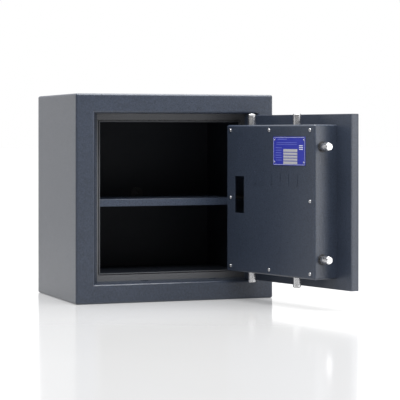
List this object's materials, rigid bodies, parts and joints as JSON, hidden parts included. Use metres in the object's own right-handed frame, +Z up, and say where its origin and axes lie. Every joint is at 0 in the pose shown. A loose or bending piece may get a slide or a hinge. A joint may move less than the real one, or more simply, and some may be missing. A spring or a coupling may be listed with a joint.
{
  "type": "wall_safe",
  "caption": "Boxy dark blue-grey steel safe with a shelf, its inset door open to show sliding round bolts on a folded cover.",
  "frame": {"origin": "centre of the underside of the body", "axes": "+X to the right seen from the front, +Y to the back, +Z up; the door front faces -Y when shut"},
  "size_m": [0.5342, 0.6911, 0.48],
  "materials": {
    "hammer_paint": "dark blue-grey hammer-finish paint with a fine raised stipple",
    "frame_paint": "neutral grey primer paint, semi-matt",
    "interior_paint": "near-black semi-matt interior paint",
    "bright_steel": "turned and plated bright steel",
    "zinc_steel": "zinc-plated sheet and bar, lightly brushed",
    "filling_mix": "poured mineral barrier filling, rough",
    "blue_plate": "printed blue rating plate, satin",
    "label_panel": "pale printed field, satin",
    "brass_part": "plain brass",
    "black_plastic": "black moulded plastic, fine matt texture",
    "handle_metal": "satin chrome"
  },
  "bodies": {
    "body": {"outer_casing": "hammer_paint", "front_frame": "hammer_paint", "doorway_lining": "hammer_paint", "liner_rear_wall": "interior_paint", "rear_panel": "hammer_paint", "stop_frame": "frame_paint", "inner_liner": "interior_paint", "barrier_filling": "filling_mix", "lock_side_keeper": "hammer_paint", "bolt_sockets": "zinc_steel", "hinge_blocks": "zinc_steel", "hinge_pins": "bright_steel", "hinge_washer": "brass_part", "rear_anchor_sleeve": "interior_paint", "floor_anchor_sleeve": "interior_paint", "shelf": "interior_paint", "shelf_studs": "zinc_steel"},
    "door": {"door_outer_plate": "hammer_paint", "door_inner_plate": "hammer_paint", "door_filling": "filling_mix", "door_hinge_blocks": "zinc_steel", "boltwork_cover": "hammer_paint", "cover_screws": "bright_steel", "cover_posts": "zinc_steel", "rating_plate": "blue_plate", "plate_rivets": "bright_steel", "rating_panel": "label_panel", "top_bolt_guides": "zinc_steel", "bottom_bolt_guides": "zinc_steel", "side_bolt_guides": "zinc_steel", "lock_case": "zinc_steel", "lock_cap": "zinc_steel", "lock_screws": "bright_steel", "lever_post": "bright_steel", "key_guide": "zinc_steel", "keyhole_plate": "handle_metal", "keyhole_rivet": "handle_metal", "handle_rose": "black_plastic", "spindle_bush": "brass_part"},
    "handle": {"handle_lever": "handle_metal", "handle_spindle": "bright_steel", "drive_disc": "zinc_steel", "disc_clip": "bright_steel"},
    "levers": {"lock_levers": "brass_part"},
    "deadbolt": {"lock_bolt": "brass_part"},
    "keyhole_flap": {"keyhole_cover": "handle_metal"},
    "top_boltwork": {"top_bolts": "bright_steel", "top_bolt_bar": "zinc_steel", "top_follower_pin": "bright_steel", "top_bolt_screws": "bright_steel"},
    "bottom_boltwork": {"bottom_bolts": "bright_steel", "bottom_bolt_bar": "zinc_steel", "bottom_follower_pin": "bright_steel", "bottom_bolt_screws": "bright_steel"},
    "side_boltwork": {"side_bolts": "bright_steel", "side_bolt_bar": "zinc_steel", "side_follower_pin": "bright_steel", "side_bolt_screws": "bright_steel"}
  },
  "joints": [
    {"name": "door_hinge", "type": "hinge", "parent": "body", "child": "door", "pos_m": [0.1905, -0.1525, 0.24], "axis": [0, 0, 1], "range_deg": [-104, 0]},
    {"name": "handle_turn", "type": "hinge", "parent": "door", "child": "handle", "pos_m": [0.23444, -0.28738, 0.23975], "axis": [-0.9703, -0.2419, 0], "range_deg": [0, 90]},
    {"name": "top_bolt_slide", "type": "slide", "parent": "door", "child": "top_boltwork", "axis": [0, 0, 1], "range_m": [0, 0.0165]},
    {"name": "bottom_bolt_slide", "type": "slide", "parent": "door", "child": "bottom_boltwork", "axis": [0, 0, -1], "range_m": [0, 0.0165]},
    {"name": "side_bolt_slide", "type": "slide", "parent": "door", "child": "side_boltwork", "axis": [0.2419, -0.9703, 0], "range_m": [0, 0.0165]},
    {"name": "lock_bolt_slide", "type": "slide", "parent": "door", "child": "deadbolt", "axis": [0.2419, -0.9703, 0], "range_m": [0, 0.008]},
    {"name": "lever_lift", "type": "hinge", "parent": "door", "child": "levers", "pos_m": [0.17579, -0.20512, 0.262], "axis": [-0.9703, -0.2419, 0], "range_deg": [0, 5]},
    {"name": "keyhole_cover_swing", "type": "hinge", "parent": "door", "child": "keyhole_flap", "pos_m": [0.2176, -0.20913, 0.234], "axis": [-0.9703, -0.2419, 0], "range_deg": [0, 90]}
  ],
  "couplings": [
    {"joint": "top_bolt_slide", "follows": "handle_turn", "m_per_rad": 0.010504},
    {"joint": "bottom_bolt_slide", "follows": "handle_turn", "m_per_rad": 0.010504},
    {"joint": "side_bolt_slide", "follows": "handle_turn", "m_per_rad": 0.010504}
  ]
}
